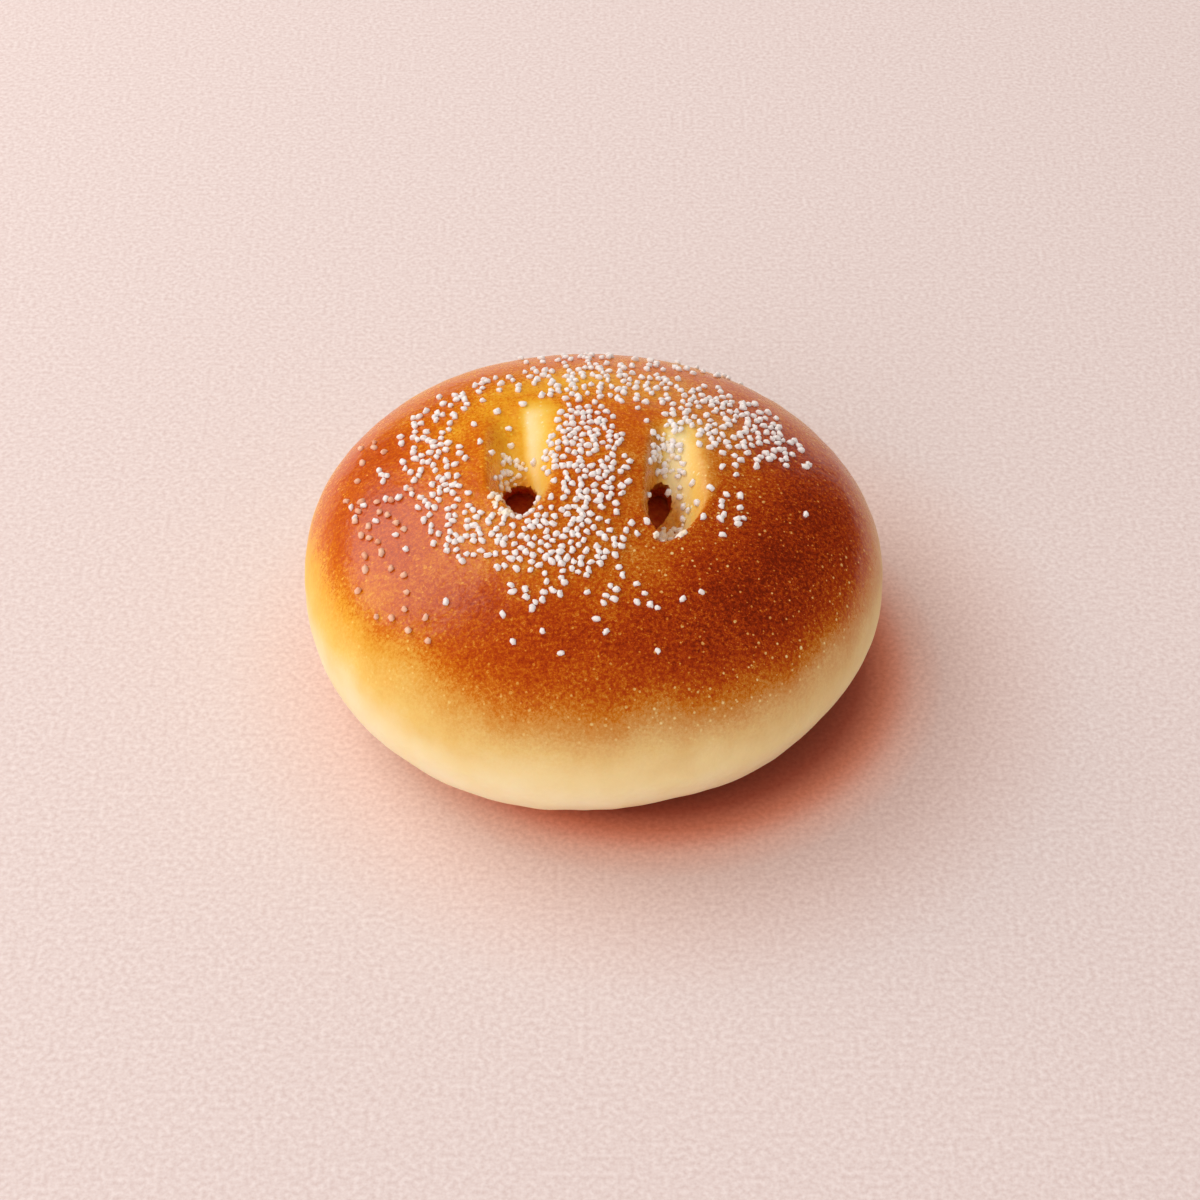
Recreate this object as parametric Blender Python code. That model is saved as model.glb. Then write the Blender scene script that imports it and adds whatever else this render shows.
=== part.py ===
"""Anpan: a round sweet bun with a browned dome, two slits that open onto its
filling of red bean paste, and white poppy seeds baked onto the crust.

Metres, +Z up. The origin is the middle of the flat underside, and the slits run
along Y. The front of the bun faces -Y.
"""
import math
import random
from collections import namedtuple

import bmesh
import bpy
from mathutils import Matrix, Vector, noise
from mathutils.bvhtree import BVHTree

MM = 0.001

# Driving dimensions of the dough
BUN_RADIUS = 41.0 * MM
BUN_HEIGHT = 34.5 * MM
GIRTH_HEIGHT = 12.7 * MM
FOOT_RADIUS = 29.3 * MM
FOOT_DROP = 13.7 * MM
DOME_ROUNDNESS = 1.85
DOME_FLATNESS = 2.78

# Unevenness of the hand-rolled dough
LOBE_COSINE = 0.0077
LOBE_SINE = 0.0029
SWELL_DEPTH = 0.32 * MM
SWELL_SIZE = 19.0 * MM
FOOT_BUMP_DEPTH = 0.55 * MM
FOOT_BUMP_SIZE = 4.2 * MM
FOOT_BUMP_TOP = 9.0 * MM

# The two slits: middle line, near end and far end of each
Slit = namedtuple("Slit", "name x near far")
SLITS = (
    Slit("left", -9.5 * MM, -8.9 * MM, 12.5 * MM),
    Slit("right", 10.2 * MM, -12.8 * MM, 8.0 * MM),
)
GROOVE_DEPTH = 4.8 * MM
GROOVE_HALF_WIDTH = 4.1 * MM
GROOVE_OVERRUN = 3.2 * MM
SLIT_MOUTH_HALF_WIDTH = 2.9 * MM
SLIT_THROAT_HALF_WIDTH = 1.9 * MM
SLIT_THROAT_LENGTH = 10.0 * MM
SLIT_NEAR_LEAN = 1.2 * MM
SLIT_TOP = 37.0 * MM
SLIT_BOTTOM = 21.0 * MM

# The filling, and the hollow that it fills
FILLING_RADIUS = 26.5 * MM
FILLING_HALF_HEIGHT = 9.6 * MM
FILLING_MIDDLE = 14.6 * MM
FILLING_LUMP_DEPTH = 0.5 * MM
FILLING_LUMP_SIZE = 9.0 * MM
FIT_GAP = 0.35 * MM

# Poppy seeds
SEED_COUNT = 200
SEED_LENGTH = 1.30 * MM
SEED_WIDTH = 1.10 * MM
SEED_HEIGHT = 0.95 * MM
SEED_LIFT = 0.16 * MM
SEED_SPACING = 2.05 * MM
SEED_SMALLEST = 0.90
SEED_LARGEST = 1.12
SEED_RANDOM_START = 7

# Where the seeds stuck: middle, half sizes, turn in degrees and share of the seeds
Patch = namedtuple("Patch", "name x y half_length half_width turn share")
SEED_PATCHES = (
    Patch("ridge between the slits", -1.0 * MM, 3.0 * MM, 19.0 * MM, 5.2 * MM, 90.0, 20.0),
    Patch("in front of the left slit", -6.5 * MM, -15.5 * MM, 11.5 * MM, 5.6 * MM, -8.0, 18.0),
    Patch("left of the left slit", -20.0 * MM, -4.0 * MM, 10.5 * MM, 6.0 * MM, 75.0, 13.0),
    Patch("far left", -22.5 * MM, 13.0 * MM, 9.0 * MM, 5.0 * MM, 50.0, 7.0),
    Patch("far rim", -7.0 * MM, 24.0 * MM, 15.0 * MM, 3.4 * MM, 14.0, 6.0),
    Patch("far middle", 4.0 * MM, 21.0 * MM, 10.0 * MM, 6.5 * MM, 0.0, 11.0),
    Patch("far right", 20.0 * MM, 12.0 * MM, 12.0 * MM, 7.0 * MM, -35.0, 17.0),
    Patch("right of the right slit", 18.5 * MM, -5.0 * MM, 9.0 * MM, 3.0 * MM, 80.0, 3.0),
    Patch("left shoulder", -30.0 * MM, 0.0 * MM, 12.0 * MM, 4.5 * MM, 95.0, 3.0),
    Patch("front", 0.0 * MM, -24.0 * MM, 13.0 * MM, 4.0 * MM, 5.0, 2.5),
    Patch("back", 2.0 * MM, 30.0 * MM, 18.0 * MM, 4.5 * MM, 0.0, 4.0),
)

# Mesh fineness
DOUGH_SEGMENTS = 60
PROFILE_STEP = 2.6 * MM
SLIT_SIDES = 20
SLIT_LEVELS = 4
FILLING_FINENESS = 3
SEED_FINENESS = 1
PROFILE_SAMPLES = 240
WELD = 0.001 * MM
SHARP_ANGLE = math.radians(50)


def clear_scene():
    for item in list(bpy.data.objects):
        bpy.data.objects.remove(item, do_unlink=True)


def make_material(name, colour, roughness):
    material = bpy.data.materials.new(name)
    material.use_nodes = True
    shader = material.node_tree.nodes["Principled BSDF"]
    shader.inputs["Base Color"].default_value = (*colour, 1.0)
    shader.inputs["Roughness"].default_value = roughness
    shader.inputs["Metallic"].default_value = 0.0
    return material


def add_object(name, bm, material):
    """Turn a bmesh into an object of the scene, shaded smooth up to sharp edges."""
    mesh = bpy.data.meshes.new(name)
    bm.to_mesh(mesh)
    bm.free()
    mesh.materials.append(material)
    mesh.shade_smooth()
    mesh.set_sharp_from_angle(angle=SHARP_ANGLE)
    item = bpy.data.objects.new(name, mesh)
    bpy.context.scene.collection.objects.link(item)
    return item


def between(start, end, share):
    return start + (end - start) * share


def dough_profile():
    """Radius and height along the crust, from the apex over the girth to the foot.

    The dome is a quarter of a superellipse. Below the girth the crust rolls under
    on an ellipse that the baking tray cuts off flat.
    """
    curve = []
    for step in range(PROFILE_SAMPLES):
        angle = 0.5 * math.pi * (1.0 - step / PROFILE_SAMPLES)
        radius = BUN_RADIUS * math.cos(angle) ** (2.0 / DOME_ROUNDNESS)
        rise = math.sin(angle) ** (2.0 / DOME_FLATNESS)
        curve.append((radius, GIRTH_HEIGHT + (BUN_HEIGHT - GIRTH_HEIGHT) * rise))
    tray_angle = math.asin(GIRTH_HEIGHT / FOOT_DROP)
    tray_cosine = math.cos(tray_angle)
    roll_middle = (FOOT_RADIUS - BUN_RADIUS * tray_cosine) / (1.0 - tray_cosine)
    for step in range(PROFILE_SAMPLES + 1):
        angle = tray_angle * step / PROFILE_SAMPLES
        radius = roll_middle + (BUN_RADIUS - roll_middle) * math.cos(angle)
        curve.append((radius, GIRTH_HEIGHT - FOOT_DROP * math.sin(angle)))
    curve[0] = (0.0, BUN_HEIGHT)
    curve[-1] = (FOOT_RADIUS, 0.0)
    return evenly_spaced(curve, PROFILE_STEP)


def evenly_spaced(curve, spacing):
    """Points about one spacing apart along a fine run of points, both ends kept."""
    lengths = [0.0]
    for start, end in zip(curve, curve[1:]):
        lengths.append(lengths[-1] + math.dist(start, end))
    count = round(lengths[-1] / spacing)
    points = []
    index = 0
    for number in range(count + 1):
        target = lengths[-1] * number / count
        while index < len(curve) - 2 and lengths[index + 1] < target:
            index += 1
        share = (target - lengths[index]) / (lengths[index + 1] - lengths[index])
        share = min(max(share, 0.0), 1.0)
        pairs = zip(curve[index], curve[index + 1])
        points.append(tuple(between(start, end, share) for start, end in pairs))
    return points


def groove_sink(x, y):
    """How far the crust sinks towards a slit at this place of the plan."""
    sink = 0.0
    for slit in SLITS:
        across = (x - slit.x) / GROOVE_HALF_WIDTH
        half_length = 0.5 * (slit.far - slit.near) + GROOVE_OVERRUN
        along = (y - 0.5 * (slit.far + slit.near)) / half_length
        if abs(along) < 1.0:
            sink += GROOVE_DEPTH * math.exp(-across * across) * (1.0 - along ** 4) ** 2
    return sink


def uneven(point):
    """A point of the turned dough, moved as hand rolling and baking leave it."""
    angle = math.atan2(point.y, point.x)
    lobes = 1.0 + LOBE_COSINE * math.cos(3.0 * angle) + LOBE_SINE * math.sin(3.0 * angle)
    outward = Vector((point.x, point.y, point.z - GIRTH_HEIGHT))
    if outward.length > 0.0:
        outward.normalize()
    swell = SWELL_DEPTH * noise.noise(point / SWELL_SIZE)
    nearness = min(max(1.0 - point.z / FOOT_BUMP_TOP, 0.0), 1.0)
    swell += FOOT_BUMP_DEPTH * nearness * noise.noise(point / FOOT_BUMP_SIZE)
    moved = Vector((point.x * lobes, point.y * lobes, point.z)) + outward * swell
    if point.z <= WELD:
        moved.z = 0.0
    return moved


def make_dough():
    """The whole crust, turned about Z, made uneven and centred over the origin."""
    bm = bmesh.new()
    outline = [bm.verts.new((radius, 0.0, height)) for radius, height in dough_profile()]
    outline.append(bm.verts.new((0.0, 0.0, 0.0)))
    edges = [bm.edges.new(pair) for pair in zip(outline, outline[1:])]
    bmesh.ops.spin(
        bm, geom=outline + edges, cent=(0.0, 0.0, 0.0), axis=(0.0, 0.0, 1.0),
        dvec=(0.0, 0.0, 0.0), angle=2.0 * math.pi, steps=DOUGH_SEGMENTS, use_merge=True,
    )
    bmesh.ops.remove_doubles(bm, verts=bm.verts, dist=WELD)
    for vert in bm.verts:
        vert.co = uneven(vert.co)
    middle_x = 0.5 * (min(v.co.x for v in bm.verts) + max(v.co.x for v in bm.verts))
    middle_y = 0.5 * (min(v.co.y for v in bm.verts) + max(v.co.y for v in bm.verts))
    bmesh.ops.translate(bm, verts=bm.verts, vec=(-middle_x, -middle_y, 0.0))
    for vert in bm.verts:
        if vert.co.z > GIRTH_HEIGHT:
            vert.co.z -= groove_sink(vert.co.x, vert.co.y)
    bmesh.ops.recalc_face_normals(bm, faces=bm.faces)
    bmesh.ops.triangulate(bm, faces=bm.faces)
    return bm


def make_filling(extra):
    """The flattened ball of paste, or with extra the hollow that holds it."""
    bm = bmesh.new()
    bmesh.ops.create_icosphere(bm, subdivisions=FILLING_FINENESS, radius=1.0)
    for vert in bm.verts:
        direction = vert.co.copy()
        lump = FILLING_LUMP_DEPTH * noise.noise(direction * FILLING_RADIUS / FILLING_LUMP_SIZE)
        radius = FILLING_RADIUS + extra + lump
        half_height = FILLING_HALF_HEIGHT + extra + lump
        vert.co.x = direction.x * radius
        vert.co.y = direction.y * radius
        vert.co.z = direction.z * half_height + FILLING_MIDDLE
    return bm


def make_slit_cutter(slit):
    """A boat shape: long at the crust, short at the filling, steep at its near end."""
    bm = bmesh.new()
    rims = []
    for level in range(SLIT_LEVELS):
        height = between(SLIT_TOP, SLIT_BOTTOM, level / (SLIT_LEVELS - 1))
        share = (BUN_HEIGHT - height) / (BUN_HEIGHT - SLIT_BOTTOM)
        half_width = between(SLIT_MOUTH_HALF_WIDTH, SLIT_THROAT_HALF_WIDTH, share)
        half_length = 0.5 * between(slit.far - slit.near, SLIT_THROAT_LENGTH, share)
        near = slit.near + SLIT_NEAR_LEAN * share
        place = Vector((slit.x, near + half_length, height))
        matrix = Matrix.LocRotScale(place, None, Vector((half_width, half_length, 1.0)))
        ring = bmesh.ops.create_circle(
            bm, cap_ends=False, segments=SLIT_SIDES, radius=1.0, matrix=matrix,
        )
        ring_edges = {edge for vert in ring["verts"] for edge in vert.link_edges}
        rims.append(list(ring_edges))
    for upper, lower in zip(rims, rims[1:]):
        bmesh.ops.bridge_loops(bm, edges=upper + lower)
    bmesh.ops.holes_fill(bm, edges=bm.edges[:], sides=0)
    bmesh.ops.recalc_face_normals(bm, faces=bm.faces)
    return bm


def in_slit(x, y, margin):
    """Whether a place of the plan lies over a slit's mouth, or within a margin of it."""
    for slit in SLITS:
        half_length = 0.5 * (slit.far - slit.near) + margin
        along = (y - 0.5 * (slit.far + slit.near)) / half_length
        across = (x - slit.x) / (SLIT_MOUTH_HALF_WIDTH + margin)
        if along * along + across * across < 1.0:
            return True
    return False


def seed_places(crust):
    """Place and outward direction of each seed, drawn from the patches, none touching."""
    draw = random.Random(SEED_RANDOM_START)
    shares = [patch.share for patch in SEED_PATCHES]
    above = 2.0 * BUN_HEIGHT
    tries = 40 * SEED_COUNT
    places = []
    while len(places) < SEED_COUNT and tries > 0:
        tries -= 1
        patch = draw.choices(SEED_PATCHES, weights=shares)[0]
        reach = math.sqrt(draw.random())
        angle = draw.uniform(0.0, 2.0 * math.pi)
        offset = Vector((
            patch.half_length * reach * math.cos(angle),
            patch.half_width * reach * math.sin(angle),
        ))
        offset.rotate(Matrix.Rotation(math.radians(patch.turn), 2))
        x = patch.x + offset.x
        y = patch.y + offset.y
        if in_slit(x, y, SEED_LENGTH):
            continue
        place, normal, face, distance = crust.ray_cast(Vector((x, y, above)), Vector((0, 0, -1)))
        if place is None:
            continue
        if any((place - other).length < SEED_SPACING for other, facing in places):
            continue
        places.append((place, normal))
    return places


def add_seeds(crust, material):
    """One pebble-shaped seed at each place, each turned and sized a little differently."""
    collection = bpy.data.collections.new("seeds to join")
    bpy.context.scene.collection.children.link(collection)
    draw = random.Random(SEED_RANDOM_START + 1)
    for place, normal in seed_places(crust):
        size = draw.uniform(SEED_SMALLEST, SEED_LARGEST)
        scale = Vector((SEED_LENGTH, SEED_WIDTH, SEED_HEIGHT)) * 0.5 * size
        turn = Matrix.Rotation(draw.uniform(0.0, 2.0 * math.pi), 4, "Z")
        lay = normal.to_track_quat("Z", "Y").to_matrix().to_4x4()
        matrix = Matrix.Translation(place + normal * SEED_LIFT) @ lay @ turn
        matrix = matrix @ Matrix.Diagonal(scale).to_4x4()
        bm = bmesh.new()
        bmesh.ops.create_icosphere(bm, subdivisions=SEED_FINENESS, radius=1.0, matrix=matrix)
        seed = add_object("seed", bm, material)
        bpy.context.scene.collection.objects.unlink(seed)
        collection.objects.link(seed)
    return collection


def cut_or_join(target, operation, item=None, collection=None):
    """Apply a Boolean on the target and take away what it was made with."""
    boolean = target.modifiers.new("boolean", "BOOLEAN")
    boolean.operation = operation
    boolean.solver = "EXACT"
    boolean.material_mode = "TRANSFER"
    if collection is not None:
        boolean.operand_type = "COLLECTION"
        boolean.collection = collection
        used = list(collection.objects)
    else:
        boolean.object = item
        used = [item]
    bpy.context.view_layer.objects.active = target
    bpy.ops.object.modifier_apply(modifier=boolean.name)
    for thing in used:
        bpy.data.objects.remove(thing, do_unlink=True)
    if collection is not None:
        bpy.data.collections.remove(collection)


def make_bread():
    """Crust, slits, hollow and seeds as one solid."""
    crust_skin = make_material("baked crust", (0.52, 0.15, 0.022), 0.38)
    crumb = make_material("bread crumb", (0.87, 0.62, 0.30), 0.9)
    seed_coat = make_material("white poppy seed", (0.88, 0.84, 0.78), 0.6)
    dough = make_dough()
    crust = BVHTree.FromBMesh(dough)
    bread = add_object("bread", dough, crust_skin)
    cut_or_join(bread, "DIFFERENCE", item=add_object("hollow", make_filling(FIT_GAP), crumb))
    for slit in SLITS:
        cutter = add_object("slit " + slit.name, make_slit_cutter(slit), crumb)
        cut_or_join(bread, "DIFFERENCE", item=cutter)
    cut_or_join(bread, "UNION", collection=add_seeds(crust, seed_coat))
    bread.data.shade_smooth()
    bread.data.set_sharp_from_angle(angle=SHARP_ANGLE)
    return bread


def make_bean_paste():
    paste = make_material("red bean paste", (0.10, 0.018, 0.010), 0.55)
    return add_object("bean_paste", make_filling(0.0), paste)


clear_scene()
make_bread()
make_bean_paste()
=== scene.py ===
import math
import random
from collections import namedtuple

import bmesh
import bpy
from mathutils import Matrix, Vector, noise
from mathutils.bvhtree import BVHTree


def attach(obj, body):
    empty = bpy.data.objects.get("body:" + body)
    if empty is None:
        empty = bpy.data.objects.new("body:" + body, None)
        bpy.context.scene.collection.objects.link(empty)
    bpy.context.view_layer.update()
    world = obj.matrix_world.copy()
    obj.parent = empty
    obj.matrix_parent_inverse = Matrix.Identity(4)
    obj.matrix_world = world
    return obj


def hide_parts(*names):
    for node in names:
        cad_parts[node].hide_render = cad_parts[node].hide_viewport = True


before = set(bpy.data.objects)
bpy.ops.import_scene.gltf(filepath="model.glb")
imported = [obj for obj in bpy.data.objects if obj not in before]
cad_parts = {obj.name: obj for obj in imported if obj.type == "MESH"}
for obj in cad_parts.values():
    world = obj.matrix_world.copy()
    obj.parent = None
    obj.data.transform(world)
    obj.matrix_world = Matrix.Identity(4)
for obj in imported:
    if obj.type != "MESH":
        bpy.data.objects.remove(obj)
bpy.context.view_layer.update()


# Bread. A ball of soft enriched dough, closed round its filling, flattened by hand,
# slit twice with scissors, brushed with egg wash and baked. The dome browns, the
# sides that touch the tray stay pale, and the slits open onto the filling.

MM = 0.001

BUN_RADIUS = 41.0 * MM
BUN_HEIGHT = 34.5 * MM
GIRTH_HEIGHT = 12.7 * MM
FOOT_RADIUS = 29.3 * MM
FOOT_DROP = 13.7 * MM
DOME_ROUNDNESS = 1.85
DOME_FLATNESS = 2.78

LOBE_COSINE = 0.0077
LOBE_SINE = 0.0029
SWELL_DEPTH = 0.32 * MM
SWELL_SIZE = 19.0 * MM
FOOT_BUMP_DEPTH = 0.55 * MM
FOOT_BUMP_SIZE = 4.2 * MM
FOOT_BUMP_TOP = 9.0 * MM
SKIN_DIMPLE_DEPTH = 0.07 * MM
SKIN_DIMPLE_SIZE = 2.6 * MM

# A slit runs from near to far along Y, its middle line from x_near to x_far. The walls left
# and right of it are as wide as said at both ends. It is depth deep as far as ramp and then
# rises. Right of a line from cream_near to cream_far, across it, on the wall toward the
# light, its dough is painted palest: painted light.
Slit = namedtuple(
    "Slit",
    "name x_near x_far near far left_near left_far right_near right_far depth ramp cream_near"
    " cream_far",
)
SLITS = (
    Slit("left", -10.3 * MM, -10.8 * MM, -8.9 * MM, 12.5 * MM,
         2.6 * MM, 4.6 * MM, 2.5 * MM, 6.0 * MM, 6.8 * MM, 6.0 * MM, 1.9 * MM, 0.0),
    Slit("right", 9.2 * MM, 9.9 * MM, -12.8 * MM, 8.0 * MM,
         1.3 * MM, 2.0 * MM, 5.6 * MM, 5.4 * MM, 6.8 * MM, 6.5 * MM, -1.2 * MM, -0.8 * MM),
)
SLIT_OVERRUN = 4.0 * MM
SLIT_FLOOR_HALF_WIDTH = 1.5 * MM
SLIT_FLOOR_FAR_SHARE = 0.3
SLIT_TIP_LENGTH = 6.0 * MM
SLIT_TIP_SHARE = 0.3
SLIT_TIP_RADIUS = 2.8 * MM
SLIT_LIP_ROUNDING = 1.6 * MM
SLIT_NEAR_WALL = 2.8 * MM
SLIT_NEAR_WALL_SPREAD = 0.5

# A rise is where an S curve starts and how long it is. Pale dough shows past a slit's near
# end, as far as its far end, up its walls to the lip. The wall right of its lit line, toward the
# light, is painted palest, and the shaded wall left of it least pale: painted light and shade.
Rise = namedtuple("Rise", "start length")
PALE_NEAR_END = Rise(-1.2 * MM, 1.6 * MM)
PALE_FAR_END = Rise(-0.5 * MM, 5.5 * MM)
PALE_LIP = Rise(0.10, 1.35)
PALE_TOWARD_LIGHT = Rise(0.0, 1.8 * MM)
PALE_SHADED_WALL = 0.32

TEAR_DEPTH = 0.30 * MM
TEAR_SIZE = 1.1 * MM
TEAR_SINK = Rise(3.4 * MM, 2.4 * MM)
FINE_TEAR_SIZE = 0.45 * TEAR_SIZE
FINE_TEAR_SHARE = 0.6
FINE_TEAR_LAYER = 7.0 * MM

Hole = namedtuple("Hole", "name x y z half_width half_height half_length lean")
HOLES = (
    Hole("left", -10.2 * MM, 0.9 * MM, 26.4 * MM, 2.7 * MM, 2.3 * MM, 9.5 * MM, 0.0),
    Hole("right", 8.8 * MM, -1.0 * MM, 26.4 * MM, 2.0 * MM, 4.0 * MM, 9.5 * MM, -12.0),
)
HOLE_TILT = math.radians(48.0)
HOLE_RAGGEDNESS = 0.40 * MM
HOLE_FINE_SIZE = 0.4 * TEAR_SIZE
HOLE_FINE_SHARE = 0.5
HOLE_PINCH = 0.55

FILLING_RADIUS = 26.5 * MM
FILLING_HALF_HEIGHT = 9.6 * MM
FILLING_MIDDLE = 14.6 * MM
FILLING_LUMP_DEPTH = 0.5 * MM
FILLING_LUMP_SIZE = 9.0 * MM
FIT_GAP = 0.35 * MM

PROFILE_SAMPLES = 400
CRUST_FINENESS = 7
HOLE_FINENESS = 6
FILLING_FINENESS = 5

# The ball's faces are split where the crust will sink by more than this, in its upper part.
REFINED_SINK = 0.15 * MM
REFINED_LOWEST = 0.4


def between(start, end, share):
    return start + (end - start) * share


def smooth(share):
    """An S curve from 0 to 1, flat outside that range."""
    share = min(max(share, 0.0), 1.0)
    return share * share * (3.0 - 2.0 * share)


def risen(value, rise):
    """An S curve from 0 at a rise's start to 1 at its end, flat outside."""
    return smooth((value - rise.start) / rise.length)


def dome_height(radius):
    cosine = min(radius / BUN_RADIUS, 1.0) ** (0.5 * DOME_ROUNDNESS)
    sine = math.sqrt(1.0 - cosine * cosine)
    return GIRTH_HEIGHT + (BUN_HEIGHT - GIRTH_HEIGHT) * sine ** (2.0 / DOME_FLATNESS)


def dough_outline():
    """Radius and height from the apex over the girth and the foot to the underside's middle,
    with the length of crust passed at each point."""
    outline = []
    for step in range(PROFILE_SAMPLES):
        radius = BUN_RADIUS * math.sin(0.5 * math.pi * step / PROFILE_SAMPLES)
        outline.append((radius, dome_height(radius)))
    tray_angle = math.asin(GIRTH_HEIGHT / FOOT_DROP)
    tray_cosine = math.cos(tray_angle)
    roll_middle = (FOOT_RADIUS - BUN_RADIUS * tray_cosine) / (1.0 - tray_cosine)
    for step in range(PROFILE_SAMPLES + 1):
        angle = tray_angle * step / PROFILE_SAMPLES
        radius = roll_middle + (BUN_RADIUS - roll_middle) * math.cos(angle)
        outline.append((radius, max(GIRTH_HEIGHT - FOOT_DROP * math.sin(angle), 0.0)))
    outline.append((0.0, 0.0))
    lengths = [0.0]
    for start, end in zip(outline, outline[1:]):
        lengths.append(lengths[-1] + math.dist(start, end))
    return outline, lengths


def place_on_outline(bm):
    """Move each point of a ball to the crust, the angle from the apex giving the way along it."""
    outline, lengths = dough_outline()
    order = sorted(bm.verts, key=lambda vert: -vert.co.normalized().z)
    index = 0
    for vert in order:
        direction = vert.co.normalized()
        passed = lengths[-1] * math.acos(min(max(direction.z, -1.0), 1.0)) / math.pi
        while index < len(outline) - 2 and lengths[index + 1] < passed:
            index += 1
        share = (passed - lengths[index]) / (lengths[index + 1] - lengths[index])
        radius = between(outline[index][0], outline[index + 1][0], share)
        height = between(outline[index][1], outline[index + 1][1], share)
        angle = math.atan2(direction.y, direction.x)
        vert.co = (radius * math.cos(angle), radius * math.sin(angle), height)


def uneven(point):
    """A point of the turned dough, moved as hand rolling and baking leave it."""
    angle = math.atan2(point.y, point.x)
    lobes = 1.0 + LOBE_COSINE * math.cos(3.0 * angle) + LOBE_SINE * math.sin(3.0 * angle)
    outward = Vector((point.x, point.y, point.z - GIRTH_HEIGHT))
    if outward.length > 0.0:
        outward.normalize()
    swell = SWELL_DEPTH * noise.noise(point / SWELL_SIZE)
    nearness = min(max(1.0 - point.z / FOOT_BUMP_TOP, 0.0), 1.0)
    swell += FOOT_BUMP_DEPTH * nearness * noise.noise(point / FOOT_BUMP_SIZE)
    swell += SKIN_DIMPLE_DEPTH * noise.noise(point / SKIN_DIMPLE_SIZE)
    moved = Vector((point.x * lobes, point.y * lobes, point.z)) + outward * swell
    moved.z = max(moved.z, 0.0)
    return moved


def slit_station(slit, x, y):
    """Way along a slit from its near end, way across from its middle line, and the climb: 0 at
    its floor's edge and 1 at its lip."""
    along = y - slit.near
    share = min(max(along / (slit.far - slit.near), 0.0), 1.0)
    across = x - between(slit.x_near, slit.x_far, share)
    pointed = between(SLIT_TIP_SHARE, 1.0, smooth(along / SLIT_TIP_LENGTH))
    floor_edge = SLIT_FLOOR_HALF_WIDTH * pointed * between(1.0, SLIT_FLOOR_FAR_SHARE, share)
    if across < 0.0:
        wall = between(slit.left_near, slit.left_far, share) * pointed
    else:
        wall = between(slit.right_near, slit.right_far, share)
    return along, across, (abs(across) - floor_edge) / wall


def slit_sink(x, y):
    """How far the crust lies below the dome in and beside a slit."""
    sink = 0.0
    for slit in SLITS:
        length = slit.far - slit.near
        along, across, climb = slit_station(slit, x, y)
        tip = across * across / (2.0 * SLIT_TIP_RADIUS)
        wall_length = SLIT_NEAR_WALL + SLIT_NEAR_WALL_SPREAD * tip
        near_wall = smooth((along - tip + SLIT_LIP_ROUNDING) / wall_length)
        far_ramp = 1.0 - smooth((along - slit.ramp) / (length + SLIT_OVERRUN - slit.ramp))
        sink += slit.depth * near_wall * far_ramp * (1.0 - smooth(climb))
    return sink


def slit_pallor(x, y):
    """How much of the pale dough under the crust shows, with painted light and shade on its walls."""
    pallor = 0.0
    for slit in SLITS:
        along, across, climb = slit_station(slit, x, y)
        tip = across * across / (2.0 * SLIT_TIP_RADIUS)
        ends = risen(along - tip, PALE_NEAR_END) * (1.0 - risen(y - slit.far, PALE_FAR_END))
        lip = 1.0 - risen(climb, PALE_LIP)
        # Painted light and shade: palest right of the lit line, on the wall that faces the light.
        cream = between(slit.cream_near, slit.cream_far, along / (slit.far - slit.near))
        side = between(PALE_SHADED_WALL, 1.0, risen(across - cream, PALE_TOWARD_LIGHT))
        pallor = max(pallor, ends * lip * side)
    return pallor


def torn_relief(x, y, sink):
    """Torn crumb on the floor of a slit."""
    torn = risen(sink, TEAR_SINK)
    coarse = noise.noise(Vector((x, y, 0.0)) / TEAR_SIZE)
    fine = noise.noise(Vector((x, y, FINE_TEAR_LAYER)) / FINE_TEAR_SIZE)
    return TEAR_DEPTH * torn * (coarse + FINE_TEAR_SHARE * fine)


def refine_slits(bm):
    """Split the ball's faces where the slits will be, so that their walls have points enough."""
    outline, lengths = dough_outline()
    reach = lengths[-1] / math.pi
    near_slit = set()
    for vert in bm.verts:
        direction = vert.co.normalized()
        if direction.z < REFINED_LOWEST:
            continue
        passed = reach * math.acos(direction.z)
        angle = math.atan2(direction.y, direction.x)
        if slit_sink(passed * math.cos(angle), passed * math.sin(angle)) > REFINED_SINK:
            near_slit.add(vert)
    edges = [edge for edge in bm.edges if edge.verts[0] in near_slit and edge.verts[1] in near_slit]
    bmesh.ops.subdivide_edges(bm, edges=edges, cuts=1, use_grid_fill=True)
    bmesh.ops.triangulate(bm, faces=[face for face in bm.faces if len(face.verts) > 3])


def make_crust():
    """The whole loaf: a ball laid on the turned outline, made uneven and sunk at the slits."""
    bm = bmesh.new()
    bmesh.ops.create_icosphere(bm, subdivisions=CRUST_FINENESS, radius=1.0)
    refine_slits(bm)
    refine_slits(bm)
    place_on_outline(bm)
    for vert in bm.verts:
        vert.co = uneven(vert.co)
    middle_x = 0.5 * (min(v.co.x for v in bm.verts) + max(v.co.x for v in bm.verts))
    middle_y = 0.5 * (min(v.co.y for v in bm.verts) + max(v.co.y for v in bm.verts))
    bmesh.ops.translate(bm, verts=bm.verts, vec=(-middle_x, -middle_y, 0.0))
    for vert in bm.verts:
        if vert.co.z > GIRTH_HEIGHT:
            sink = slit_sink(vert.co.x, vert.co.y)
            vert.co.z += torn_relief(vert.co.x, vert.co.y, sink) - sink
    bmesh.ops.recalc_face_normals(bm, faces=bm.faces)
    return bm


def make_filling(extra):
    """The flattened ball of paste, or with extra the hollow that holds it."""
    bm = bmesh.new()
    bmesh.ops.create_icosphere(bm, subdivisions=FILLING_FINENESS, radius=1.0)
    for vert in bm.verts:
        direction = vert.co.copy()
        lump = FILLING_LUMP_DEPTH * noise.noise(direction * FILLING_RADIUS / FILLING_LUMP_SIZE)
        radius = FILLING_RADIUS + extra + lump
        half_height = FILLING_HALF_HEIGHT + extra + lump
        vert.co.x = direction.x * radius
        vert.co.y = direction.y * radius
        vert.co.z = direction.z * half_height + FILLING_MIDDLE
    return bm


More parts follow.
